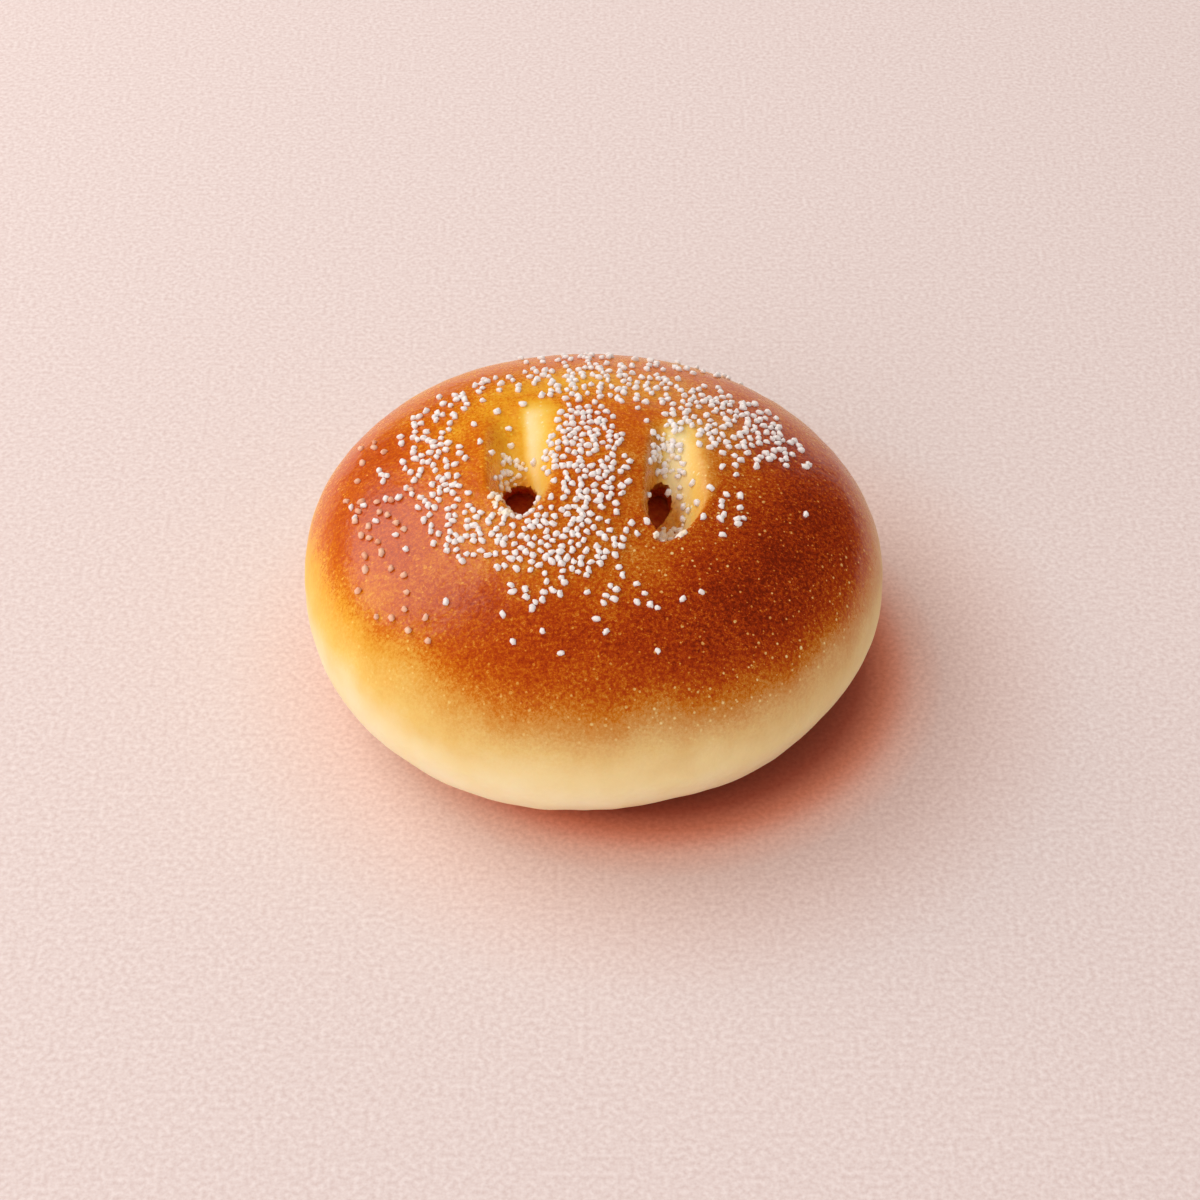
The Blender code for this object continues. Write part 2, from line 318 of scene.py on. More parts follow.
def make_hole(hole):
    """The torn opening that slopes from a slit's near end down to the filling."""
    bm = bmesh.new()
    bmesh.ops.create_icosphere(bm, subdivisions=HOLE_FINENESS, radius=1.0)
    for vert in bm.verts:
        direction = vert.co.copy()
        size = Vector((hole.half_width, hole.half_height, hole.half_length))
        tear = noise.noise(direction * size / TEAR_SIZE)
        tear += HOLE_FINE_SHARE * noise.noise(direction * size / HOLE_FINE_SIZE)
        vert.co = direction * size + direction * (HOLE_RAGGEDNESS * tear)
        vert.co.x *= 1.0 - HOLE_PINCH * max(-direction.y, 0.0)
    tilt = Matrix.Rotation(0.5 * math.pi - HOLE_TILT, 4, "X")
    tilt @= Matrix.Rotation(math.radians(hole.lean), 4, "Z")
    place = Matrix.Translation((hole.x, hole.y, hole.z))
    bmesh.ops.transform(bm, matrix=place @ tilt, verts=bm.verts)
    return bm


def add_piece(name, bm, *materials):
    """Turn a bmesh into a smooth-shaded object of the scene."""
    mesh = bpy.data.meshes.new(name)
    bm.to_mesh(mesh)
    bm.free()
    for material in materials:
        mesh.materials.append(material)
    mesh.shade_smooth()
    piece = bpy.data.objects.new(name, mesh)
    bpy.context.scene.collection.objects.link(piece)
    return piece


def cut_away(piece, cutter):
    """Take the form of one object out of another, and remove it."""
    boolean = piece.modifiers.new("cut", "BOOLEAN")
    boolean.operation = "DIFFERENCE"
    boolean.solver = "EXACT"
    boolean.object = cutter
    bpy.context.view_layer.objects.active = piece
    bpy.ops.object.modifier_apply(modifier=boolean.name)
    bpy.data.objects.remove(cutter, do_unlink=True)


# How the crust browned, and at the back's shoulder a paler tone that is partly painted
# reflection. A flush is a browner or paler side: its angle round the bun from the right and its
# spread, both in radians, and what it changes there.
Flush = namedtuple("Flush", "name angle spread change")
HEIGHT_FLUSHES = (
    Flush("right", -0.20, 0.75, 3.2 * MM),
    Flush("left", math.pi, 0.65, 1.8 * MM),
    Flush("left, past the half turn", -math.pi, 0.65, 1.8 * MM),
    Flush("front left", -2.50, 0.45, -2.2 * MM),
)
SHOULDER_FLUSHES = (
    Flush("right front", -0.45, 0.80, 0.15),
    # Painted reflection in part: the back's shoulder is paler for the pale floor seen along that rim.
    Flush("back", 1.6, 1.3, -0.16),
)
BROWN_DRIFT = 1.2 * MM
BROWN_DRIFT_PITCH = 1.7
BROWN_SIDES = Rise(6.0 * MM, 28.0 * MM)
BROWN_SIDES_SHARE = 0.76
BROWN_TOP = Rise(21.0 * MM, 5.0 * MM)
BROWN_TOP_SHARE = 0.05
PALE_MIDDLE = Rise(30.0 * MM, -10.0 * MM)
PALE_MIDDLE_SHARE = 0.18
SHOULDER_HEIGHT = Rise(20.0 * MM, 8.0 * MM)
SHOULDER_RADIUS = Rise(14.0 * MM, 9.0 * MM)

CRUST_MARKS = ("browning", "golden", "inside", "stain_and_glow", "speckle")
OPEN_SLIT_BROWNING = 0.22
DEPTH_RADIUS = 0.8 * BUN_RADIUS
DEPTH_LOWEST = 3.0 * MM
INSIDE_DEPTH = Rise(4.2 * MM, 2.0 * MM)
# Deepest in the holes the crumb turns bright orange: the paste's stain and a painted glow of light
# through the crumb.
STAIN_AND_GLOW_DEPTH = Rise(6.3 * MM, 1.6 * MM)
# Painted light: the crust is painted tan on the side turned from the window, at this angle, and gold
# toward it.
SHADED_TAN_SIDE_ANGLE = -0.7
SPECKLE_FLUSHES = (Flush("right front", SHADED_TAN_SIDE_ANGLE, 0.75, 1.0),)
SPECKLE_RADIUS = Rise(9.0 * MM, 12.0 * MM)
SPECKLE_HEIGHT = Rise(17.0 * MM, 8.0 * MM)
SPECKLE_LEAST = 0.30


def flushed(flushes, angle):
    """What the flushes change at an angle, each falling off as a bell curve."""
    return sum(one.change * math.exp(-((angle - one.angle) / one.spread) ** 2) for one in flushes)


def browning(point):
    """How far the crust has browned, 0 for pale dough to 1 for mahogany, with painted reflection at
    the back.
    """
    radius = math.hypot(point.x, point.y)
    angle = math.atan2(point.y, point.x)
    around = Vector((math.cos(angle), math.sin(angle), 0.0))
    drift = noise.noise(around * BROWN_DRIFT_PITCH) * BROWN_DRIFT
    height = point.z + drift + flushed(HEIGHT_FLUSHES, angle)
    value = BROWN_SIDES_SHARE * risen(height, BROWN_SIDES)
    value += BROWN_TOP_SHARE * risen(height, BROWN_TOP)
    value -= PALE_MIDDLE_SHARE * risen(radius, PALE_MIDDLE)
    shoulder = risen(point.z, SHOULDER_HEIGHT) * risen(radius, SHOULDER_RADIUS)
    return value + flushed(SHOULDER_FLUSHES, angle) * shoulder


def mark_crust(mesh):
    """Keep with each point what the material goes by: how brown it is, how golden that brown is,
    painted light on the side toward the light and real in the slits' opened dough, how deep the
    point lies in a slit, and how many specks it has."""
    marks = {name: [] for name in CRUST_MARKS}
    for vert in mesh.vertices:
        point = vert.co
        radius = math.hypot(point.x, point.y)
        angle = math.atan2(point.y, point.x)
        depth = 0.0
        if radius < DEPTH_RADIUS and point.z > DEPTH_LOWEST:
            depth = max(dome_height(radius) - point.z, 0.0)
        open_slit = 0.0
        if point.z > GIRTH_HEIGHT:
            open_slit = slit_pallor(point.x, point.y)
        # Painted light: gold toward the window, tan on the side turned from it.
        golden = smooth(0.5 - 0.5 * math.cos(angle - SHADED_TAN_SIDE_ANGLE))
        dusted = flushed(SPECKLE_FLUSHES, angle) * risen(radius, SPECKLE_RADIUS)
        speckle = between(SPECKLE_LEAST, 1.0, dusted) * risen(point.z, SPECKLE_HEIGHT)
        marks["browning"].append(browning(point) * between(1.0, OPEN_SLIT_BROWNING, open_slit))
        marks["golden"].append(max(golden, open_slit))
        marks["inside"].append(risen(depth, INSIDE_DEPTH))
        marks["stain_and_glow"].append(risen(depth, STAIN_AND_GLOW_DEPTH))
        marks["speckle"].append(speckle)
    for name, values in marks.items():
        mesh.attributes.new(name, "FLOAT", "POINT").data.foreach_set("value", values)


def linear(hex_colour):
    """An sRGB colour written as six hex digits, as linear red, green, blue and alpha."""
    channels = []
    for start in (0, 2, 4):
        value = int(hex_colour[start:start + 2], 16) / 255.0
        channels.append(value / 12.92 if value <= 0.04045 else ((value + 0.055) / 1.055) ** 2.4)
    return (*channels, 1.0)


def add_node(tree, kind, settings=(), values=(), links=(), stops=()):
    """Add a node with its settings, its socket values, its links and, for a ramp, its stops.
    A new ramp has two elements already, so the first two of its stops are set in those."""
    node = tree.nodes.new(kind)
    for name, value in settings:
        setattr(node, name, value)
    for name, value in values:
        node.inputs[name].default_value = value
    for name, source in links:
        tree.links.new(source, node.inputs[name])
    for number, (position, colour) in enumerate(stops):
        elements = node.color_ramp.elements
        element = elements[number] if number < 2 else elements.new(position)
        element.position = position
        element.color = colour
    return node


def new_material(name):
    """A material with its node tree, its shader and the object coordinates for its patterns."""
    material = bpy.data.materials.new(name)
    material.use_nodes = True
    tree = material.node_tree
    place = add_node(tree, "ShaderNodeTexCoord").outputs["Object"]
    return material, tree, tree.nodes["Principled BSDF"], place


def per_mm(size):
    """A texture's scale for features of this many millimetres, in object coordinates."""
    return 1.0 / (size * MM)


def set_shader(shader, values):
    for name, value in values:
        shader.inputs[name].default_value = value


CRUST_STOPS = (
    (0.00, linear("FFEFC4")),
    (1.00, linear("741D00")),
    (0.15, linear("F8DFA2")),
    (0.30, linear("EAC682")),
    (0.45, linear("D5944A")),
    (0.58, linear("CC7408")),
    (0.68, linear("BA4A00")),
    (0.80, linear("A43000")),
)
# Gold for the side toward the light, painted light, and for the slits' opened dough.
GOLDEN_LIT_SIDE_AND_SLIT_STOPS = (
    (0.00, linear("FFEFC8")),
    (1.00, linear("A83000")),
    (0.15, linear("FBE0A0")),
    (0.30, linear("F8C84C")),
    (0.45, linear("F4AE18")),
    (0.58, linear("E07802")),
    (0.72, linear("CE5400")),
)
TORN_STOPS = ((0.35, linear("C86C06")), (0.62, linear("F2AE3C")))
# Bright orange of the deepest crumb: paste stain with a painted glow of light through the crumb.
STAIN_AND_GLOW_COLOUR = linear("F0700C")
CLOUD_SIZE = 7.0
CLOUD_SWING = 0.24
MOTTLE_SIZE = 0.5
MOTTLE_SWING = 2.40
MOTTLE_POWER = 2.0
PORE_SIZE = 0.55
SKIN_CELL_SIZE = 1.1

# Specks lie this many millimetres apart. The largest one's radius and the softness of its
# edge are shares of that, and paling is what it takes off the browning.
Specks = namedtuple("Specks", "spacing largest edge paling")
BLISTERS = Specks(0.90, 0.36, 0.12, 0.46)
DUST = Specks(0.42, 0.34, 0.16, 0.26)


def speck_mask(tree, place, specks):
    """Round specks of many sizes, one in each cell of a pattern."""
    cells = add_node(
        tree, "ShaderNodeTexVoronoi", values=[("Scale", per_mm(specks.spacing)), ("Randomness", 1.0)],
        links=[("Vector", place)],
    )
    radius = add_node(
        tree, "ShaderNodeMath", [("operation", "MULTIPLY")], [(1, specks.largest)],
        [(0, cells.outputs["Color"])],
    ).outputs[0]
    inward = add_node(
        tree, "ShaderNodeMath", [("operation", "SUBTRACT")],
        links=[(0, radius), (1, cells.outputs["Distance"])],
    ).outputs[0]
    return add_node(
        tree, "ShaderNodeMapRange",
        values=[("From Min", 0.0), ("From Max", specks.edge), ("To Max", specks.paling)],
        links=[("Value", inward)],
    ).outputs[0]


def varied_browning(tree, place, marks, mottle):
    """The browning with soft clouds, with mottle where it is strong, and less its specks."""
    clouds = add_node(
        tree, "ShaderNodeTexNoise", values=[("Scale", per_mm(CLOUD_SIZE)), ("Detail", 3.0)],
        links=[("Vector", place)],
    ).outputs["Fac"]
    cloud_shift = add_node(
        tree, "ShaderNodeMath", [("operation", "MULTIPLY_ADD")],
        [(1, CLOUD_SWING), (2, -0.5 * CLOUD_SWING)], [(0, clouds)],
    ).outputs[0]
    mottle_shift = add_node(
        tree, "ShaderNodeMath", [("operation", "MULTIPLY_ADD")],
        [(1, MOTTLE_SWING), (2, -0.5 * MOTTLE_SWING)], [(0, mottle)],
    ).outputs[0]
    mottle_share = add_node(
        tree, "ShaderNodeMath", [("operation", "POWER")],
        [(1, MOTTLE_POWER)], [(0, marks["browning"])],
    ).outputs[0]
    mottle_shift = add_node(
        tree, "ShaderNodeMath", [("operation", "MULTIPLY")],
        links=[(0, mottle_shift), (1, mottle_share)],
    ).outputs[0]
    specks = add_node(
        tree, "ShaderNodeMath", [("operation", "MAXIMUM")],
        links=[(0, speck_mask(tree, place, BLISTERS)), (1, speck_mask(tree, place, DUST))],
    ).outputs[0]
    specks = add_node(
        tree, "ShaderNodeMath", [("operation", "MULTIPLY")],
        links=[(0, specks), (1, marks["speckle"])],
    ).outputs[0]
    brown = marks["browning"]
    for operation, change in (("ADD", cloud_shift), ("ADD", mottle_shift), ("SUBTRACT", specks)):
        brown = add_node(
            tree, "ShaderNodeMath", [("operation", operation)], links=[(0, brown), (1, change)],
        ).outputs[0]
    return brown


def crust_colour(tree, marks, brown, mottle):
    """Cream through tan or gold to mahogany, the gold in part painted light, then torn crumb and,
    deepest, the paste's stain with a painted glow of the light that comes through the crumb.
    """
    colour = add_node(
        tree, "ShaderNodeValToRGB", stops=CRUST_STOPS, links=[("Fac", brown)],
    ).outputs["Color"]
    golden = add_node(
        tree, "ShaderNodeValToRGB", stops=GOLDEN_LIT_SIDE_AND_SLIT_STOPS, links=[("Fac", brown)],
    ).outputs["Color"]
    torn = add_node(
        tree, "ShaderNodeValToRGB", stops=TORN_STOPS, links=[("Fac", mottle)],
    ).outputs["Color"]
    for share, layer in ((marks["golden"], golden), (marks["inside"], torn)):
        colour = add_node(
            tree, "ShaderNodeMix", [("data_type", "RGBA")],
            links=[(0, share), (6, colour), (7, layer)],
        ).outputs[2]
    return add_node(
        tree, "ShaderNodeMix", [("data_type", "RGBA")], [(7, STAIN_AND_GLOW_COLOUR)],
        [(0, marks["stain_and_glow"]), (6, colour)],
    ).outputs[2]


def crust_bumps(tree, place):
    """Fine pores and the cells of baked skin."""
    pores = add_node(
        tree, "ShaderNodeTexNoise", values=[("Scale", per_mm(PORE_SIZE)), ("Detail", 4.0)],
        links=[("Vector", place)],
    ).outputs["Fac"]
    skin = add_node(
        tree, "ShaderNodeTexVoronoi", [("feature", "SMOOTH_F1")],
        [("Scale", per_mm(SKIN_CELL_SIZE)), ("Smoothness", 0.6)], [("Vector", place)],
    ).outputs["Distance"]
    relief = add_node(
        tree, "ShaderNodeMath", [("operation", "ADD")], links=[(0, pores), (1, skin)],
    ).outputs[0]
    return add_node(
        tree, "ShaderNodeBump", values=[("Strength", 0.35), ("Distance", 0.10 * MM)],
        links=[("Height", relief)],
    ).outputs["Normal"]


def make_crust_material():
    """Egg-washed milk-dough crust: fine-pored, from matt cream at the foot to satin mahogany."""
    material, tree, shader, place = new_material("egg-washed crust")
    marks = {}
    for name in CRUST_MARKS:
        mark = add_node(tree, "ShaderNodeAttribute", [("attribute_name", name)])
        marks[name] = mark.outputs["Fac"]
    mottle = add_node(
        tree, "ShaderNodeTexNoise",
        values=[("Scale", per_mm(MOTTLE_SIZE)), ("Detail", 5.0), ("Roughness", 0.85)],
        links=[("Vector", place)],
    ).outputs["Fac"]
    brown = varied_browning(tree, place, marks, mottle)
    tree.links.new(crust_colour(tree, marks, brown, mottle), shader.inputs["Base Color"])
    tree.links.new(crust_bumps(tree, place), shader.inputs["Normal"])
    roughness = add_node(
        tree, "ShaderNodeMapRange",
        values=[("From Min", 0.2), ("From Max", 0.6), ("To Min", 0.52), ("To Max", 0.23)],
        links=[("Value", brown)],
    ).outputs[0]
    tree.links.new(roughness, shader.inputs["Roughness"])
    set_shader(shader, [
        ("IOR", 1.40), ("Subsurface Weight", 0.12), ("Subsurface Scale", 1.5 * MM),
        ("Subsurface Radius", (1.0, 0.45, 0.15)),
    ])
    return material


crust_material = make_crust_material()
crust = add_piece("bread_crust", make_crust(), crust_material)
cut_away(crust, add_piece("hollow", make_filling(FIT_GAP)))
for hole in HOLES:
    cut_away(crust, add_piece("hole_" + hole.name, make_hole(hole)))
mark_crust(crust.data)
crust.data.shade_smooth()
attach(crust, "root")
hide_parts("bread")


# Bean paste. Red azuki beans boiled soft with sugar and mashed, rolled into a ball and
# pressed flat. It fills the hollow of the bread and shows, dark and moist, in the slits.

PASTE_GRAIN = 0.8
# Painted light: brighter than real paste, for the light that reaches it through the dough.
PASTE_PAINTED_LIGHT_STOPS = ((0.30, linear("DC4A12")), (0.70, linear("FF8838")))


def grain_colour(tree, place, size, detail, stops):
    """A noise with grains of this many millimetres, and the colours that it runs through."""
    grain = add_node(
        tree, "ShaderNodeTexNoise", values=[("Scale", per_mm(size)), ("Detail", detail)],
        links=[("Vector", place)],
    ).outputs["Fac"]
    colour = add_node(
        tree, "ShaderNodeValToRGB", stops=stops, links=[("Fac", grain)],
    ).outputs["Color"]
    return grain, colour


def make_paste_material():
    """Mashed sweet beans: moist and finely grained. Painted light: its colour is a brighter
    orange-red than real paste, for light through the dough into the holes' deep shade."""
    material, tree, shader, place = new_material("red bean paste")
    grain, colour = grain_colour(tree, place, PASTE_GRAIN, 4.0, PASTE_PAINTED_LIGHT_STOPS)
    tree.links.new(colour, shader.inputs["Base Color"])
    bump = add_node(
        tree, "ShaderNodeBump", values=[("Strength", 0.5), ("Distance", 0.2 * MM)],
        links=[("Height", grain)],
    ).outputs["Normal"]
    tree.links.new(bump, shader.inputs["Normal"])
    set_shader(shader, [("Roughness", 0.42), ("IOR", 1.45)])
    return material


paste = add_piece("filling_paste", make_filling(0.0), make_paste_material())
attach(paste, "root")
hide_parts("bean_paste")


# White poppy seeds. Small kidney-shaped seeds, pressed onto the egg-washed dough with a
# damp rolling pin's end before baking, so they lie in dense drifts and some stray.

SEED_COUNT = 790
SEED_LENGTH = 1.08 * MM
SEED_WIDTH = 0.94 * MM
SEED_HEIGHT = 0.80 * MM
SEED_SIZES = (0.85, 1.15)
SEED_STRETCHES = (0.92, 1.12)
SEED_TILT = 0.35
SEED_DENT_DEPTH = 0.16
SEED_DENT_HALF_WIDTH = 0.22
SEED_UNEVENNESS = 0.22
SEED_UNEVENNESS_PITCH = 2.6
SEED_LIFT = 0.19 * MM
SEED_SPACING = 0.84 * MM
SEED_DRAW = 7
SEED_GRAIN = 0.35
SEED_STOPS = ((0.25, linear("F4E4DD")), (0.60, linear("FFFAF8")))

SLIT_SINK = 1.0 * MM
LOWEST_SEED_IN_SLIT = 28.5 * MM
TRIES_PER_PLACE = 40
PATCH_EDGES = (0.7, 1.3)
NOISE_REACH = 50.0

# A patch is an oval on the crust, seen from above and turned by so many degrees. Its share is
# how often a seed is drawn there.
Patch = namedtuple("Patch", "name x y half_length half_width turn share")
SEED_PATCHES = (
    Patch("ridge between the slits", -1.0 * MM, 2.0 * MM, 13.0 * MM, 5.0 * MM, 90.0, 152.0),
    Patch("front end of the ridge", -3.0 * MM, -14.0 * MM, 8.0 * MM, 7.0 * MM, 0.0, 98.0),
    Patch("in front of the left slit", -12.0 * MM, -13.0 * MM, 8.0 * MM, 4.5 * MM, -20.0, 58.0),
    Patch("left of the left slit", -20.0 * MM, -7.0 * MM, 9.0 * MM, 3.5 * MM, 105.0, 40.0),
    Patch("left", -23.0 * MM, 3.0 * MM, 7.0 * MM, 4.0 * MM, 80.0, 18.0),
    Patch("far left", -22.0 * MM, 14.0 * MM, 7.0 * MM, 4.0 * MM, 60.0, 20.0),
    Patch("far left rim", -14.0 * MM, 22.0 * MM, 8.0 * MM, 2.5 * MM, 15.0, 10.0),
    Patch("far middle", 2.0 * MM, 21.0 * MM, 11.0 * MM, 6.0 * MM, 0.0, 68.0),
    Patch("far right", 19.0 * MM, 12.0 * MM, 11.0 * MM, 7.0 * MM, -35.0, 110.0),
    Patch("right wall of the right slit", 11.5 * MM, -2.0 * MM, 11.0 * MM, 2.0 * MM, 90.0, 18.0),
    Patch("right of the right slit", 18.5 * MM, -6.0 * MM, 6.5 * MM, 2.2 * MM, 90.0, 8.0),
    Patch("left shoulder", -30.0 * MM, -2.0 * MM, 9.0 * MM, 3.0 * MM, 90.0, 7.0),
    Patch("front", 0.0 * MM, -23.0 * MM, 13.0 * MM, 3.0 * MM, 0.0, 10.0),
    Patch("front strays", -4.0 * MM, -29.0 * MM, 20.0 * MM, 5.0 * MM, 0.0, 2.5),
    Patch("back", 2.0 * MM, 30.0 * MM, 18.0 * MM, 4.0 * MM, 0.0, 22.0),
    Patch("fallen into the right slit", 10.6 * MM, 4.5 * MM, 5.0 * MM, 2.4 * MM, 90.0, 14.0),
    Patch("fallen into the left slit", -12.6 * MM, 1.0 * MM, 7.5 * MM, 1.0 * MM, 88.0, 8.0),
    Patch("lip of the left slit", -10.5 * MM, -9.6 * MM, 2.6 * MM, 0.8 * MM, 0.0, 5.0),
    Patch("all over", -3.0 * MM, -1.0 * MM, 27.0 * MM, 22.0 * MM, 10.0, 36.0),
)


def scattered_places(skin, patches, count, spacing, lowest, draw):
    """Places on the crust and their outward directions, drawn from the patches."""
    shares = [patch.share for patch in patches]
    above = 2.0 * BUN_HEIGHT
    tries = TRIES_PER_PLACE * count
    places = []
    while len(places) < count and tries > 0:
        tries -= 1
        patch = draw.choices(patches, weights=shares)[0]
        reach = math.sqrt(draw.random()) * draw.uniform(*PATCH_EDGES)
        angle = draw.uniform(0.0, 2.0 * math.pi)
        offset = Vector((
            patch.half_length * reach * math.cos(angle),
            patch.half_width * reach * math.sin(angle),
        ))
        offset.rotate(Matrix.Rotation(math.radians(patch.turn), 2))
        x = patch.x + offset.x
        y = patch.y + offset.y
        place, normal, face, distance = skin.ray_cast(Vector((x, y, above)), Vector((0, 0, -1)))
        if place is None or place.z < lowest and slit_sink(x, y) > SLIT_SINK:
            continue
        if any((place - other).length < spacing for other, facing in places):
            continue
        places.append((place, normal))
    return places


def make_seed(draw, place, normal):
    """A kidney-shaped pebble lying on the crust, one side a little dented."""
    size = draw.uniform(*SEED_SIZES)
    stretch = draw.uniform(*SEED_STRETCHES)
    bm = bmesh.new()
    bmesh.ops.create_uvsphere(bm, u_segments=8, v_segments=5, radius=0.5)
    seat = Vector((draw.random(), draw.random(), draw.random())) * NOISE_REACH
    for vert in bm.verts:
        dent = SEED_DENT_DEPTH * math.exp(-(vert.co.x / SEED_DENT_HALF_WIDTH) ** 2)
        vert.co.y -= dent * max(vert.co.y, 0.0) * 2.0
        vert.co += SEED_UNEVENNESS * noise.noise_vector(vert.co * SEED_UNEVENNESS_PITCH + seat)
        vert.co.x *= SEED_LENGTH * size * stretch
        vert.co.y *= SEED_WIDTH * size
        vert.co.z *= SEED_HEIGHT * size
    turn = Matrix.Rotation(draw.uniform(0.0, 2.0 * math.pi), 4, "Z")
    tilt = Matrix.Rotation(draw.uniform(-SEED_TILT, SEED_TILT), 4, "Y")
    lay = normal.to_track_quat("Z", "Y").to_matrix().to_4x4()
    matrix = Matrix.Translation(place + normal * SEED_LIFT) @ lay @ turn @ tilt
    bmesh.ops.transform(bm, matrix=matrix, verts=bm.verts)
    return bm


def join_shapes(name, shapes, material):
    """Many small bmeshes as the loose shells of one piece."""
    whole = bmesh.new()
    passing = bpy.data.meshes.new("passing")
    for shape in shapes:
        shape.to_mesh(passing)
        shape.free()
        whole.from_mesh(passing)
    bpy.data.meshes.remove(passing)
    return add_piece(name, whole, material)


def make_seed_material():
    """White poppy seed: chalky ivory coat with a faint grey net."""
    material, tree, shader, place = new_material("white poppy seed")
    net, colour = grain_colour(tree, place, SEED_GRAIN, 2.0, SEED_STOPS)
    tree.links.new(colour, shader.inputs["Base Color"])
    bump = add_node(
        tree, "ShaderNodeBump", values=[("Strength", 0.4), ("Distance", 0.05 * MM)],
        links=[("Height", net)],
    ).outputs["Normal"]
    tree.links.new(bump, shader.inputs["Normal"])
    set_shader(shader, [("Roughness", 0.55), ("IOR", 1.46)])
    return material


skin_tree = BVHTree.FromPolygons(
    [vert.co.copy() for vert in crust.data.vertices],
    [tuple(face.vertices) for face in crust.data.polygons],
)
noise.seed_set(SEED_DRAW)
seed_draw = random.Random(SEED_DRAW)
seed_places = scattered_places(
    skin_tree, SEED_PATCHES, SEED_COUNT, SEED_SPACING, LOWEST_SEED_IN_SLIT, seed_draw,
)
white_seeds = join_shapes(
    "white_poppy_seeds",
    [make_seed(seed_draw, place, normal) for place, normal in seed_places],
    make_seed_material(),
)
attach(white_seeds, "root")
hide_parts("bread")


# Glazed poppy seeds. The same seeds on the left shoulder, where the brush of egg wash ran
# over them, so that they baked as golden brown as the crust and shine with it. Their colour is
# painted paler and pinker than that, as painted highlight of the window's sheen on the shoulder.

GLAZED_COUNT = 34
GLAZED_SPACING = 1.6 * MM
GLAZED_DRAW = 9
GLAZE_PATCH_SIZE = 2.5
# Painted highlight in part: the pale pinkish tan stands for the window's sheen on these seeds.
GLAZED_SEED_AND_HIGHLIGHT_STOPS = ((0.3, linear("F0A880")), (0.7, linear("FFD8BC")))
GLAZED_PATCHES = (
    Patch("left shoulder", -29.5 * MM, -9.0 * MM, 11.0 * MM, 4.5 * MM, 95.0, 22.0),
    Patch("left front", -26.0 * MM, -22.0 * MM, 6.0 * MM, 3.0 * MM, 130.0, 5.0),
    Patch("left edge", -32.0 * MM, 10.0 * MM, 8.0 * MM, 3.0 * MM, 75.0, 9.0),
)


def make_glazed_seed_material():
    """Poppy seed under baked egg wash: golden brown, smooth, a little glossy; painted highlight pales
    it.
    """
    material, tree, shader, place = new_material("egg-glazed poppy seed")
    tone, colour = grain_colour(tree, place, GLAZE_PATCH_SIZE, 2.0, GLAZED_SEED_AND_HIGHLIGHT_STOPS)
    tree.links.new(colour, shader.inputs["Base Color"])
    set_shader(shader, [("Roughness", 0.30), ("IOR", 1.45)])
    return material


glazed_draw = random.Random(GLAZED_DRAW)
glazed_places = scattered_places(
    skin_tree, GLAZED_PATCHES, GLAZED_COUNT, GLAZED_SPACING, 0.0, glazed_draw,
)
glazed_seeds = join_shapes(
    "glazed_poppy_seeds",
    [make_seed(glazed_draw, place, normal) for place, normal in glazed_places],
    make_glazed_seed_material(),
)
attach(glazed_seeds, "root")
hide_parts("bread")


# Torn crumbs. Soft flakes and beads of milk dough that the scissors tore loose; they
# cling, half seeds and half crumb, to the slits' floors, to their lips and round the holes.

CRUMB_COUNT = 165
CRUMB_SMALLEST = 0.55 * MM
CRUMB_LARGEST = 1.15 * MM
CRUMB_SMALLNESS = 1.6
CRUMB_UNEVENNESS = 0.6
CRUMB_UNEVENNESS_PITCH = 2.2
CRUMB_FLATNESS = 0.7
CRUMB_LIFT = 0.10
CRUMB_SPACING = 0.42 * MM
CRUMB_DRAW = 10
CRUMB_GRAIN = 1.1
CRUMB_STOPS = ((0.35, linear("FFE2B4")), (0.60, linear("FFF8F0")))
LOWEST_CRUMB_IN_SLIT = 25.5 * MM
CRUMB_PATCHES = (
    Patch("left slit's floor", -11.6 * MM, 1.5 * MM, 6.0 * MM, 1.8 * MM, 88.0, 40.0),
    Patch("left slit's near lip", -10.4 * MM, -9.1 * MM, 2.6 * MM, 0.7 * MM, 0.0, 16.0),
    Patch("left slit's left side", -13.0 * MM, -5.0 * MM, 3.6 * MM, 0.9 * MM, 80.0, 16.0),
    Patch("right slit's near lip", 10.4 * MM, -12.5 * MM, 2.2 * MM, 0.9 * MM, 14.0, 28.0),
    Patch("right slit's shelf", 10.4 * MM, -6.6 * MM, 1.7 * MM, 1.0 * MM, 10.0, 44.0),
    Patch("right slit's floor", 9.9 * MM, 3.0 * MM, 5.0 * MM, 1.2 * MM, 86.0, 22.0),
)


def make_crumb_bead(draw, place, normal):
    """A small irregular bead of crumb, half sunk in the crust under it."""
    size = between(CRUMB_SMALLEST, CRUMB_LARGEST, draw.random() ** CRUMB_SMALLNESS)
    bm = bmesh.new()
    bmesh.ops.create_icosphere(bm, subdivisions=2, radius=0.5)
    seat = Vector((draw.random(), draw.random(), draw.random())) * NOISE_REACH
    for vert in bm.verts:
        swell = noise.noise(vert.co * CRUMB_UNEVENNESS_PITCH + seat)
        vert.co *= 1.0 + CRUMB_UNEVENNESS * swell
        vert.co.z *= CRUMB_FLATNESS
    turn = Matrix.Rotation(draw.uniform(0.0, 2.0 * math.pi), 4, "Z")
    lay = normal.to_track_quat("Z", "Y").to_matrix().to_4x4()
    matrix = Matrix.Translation(place + normal * CRUMB_LIFT * size) @ lay @ turn
    bmesh.ops.transform(bm, matrix=matrix @ Matrix.Scale(size, 4), verts=bm.verts)
    return bm


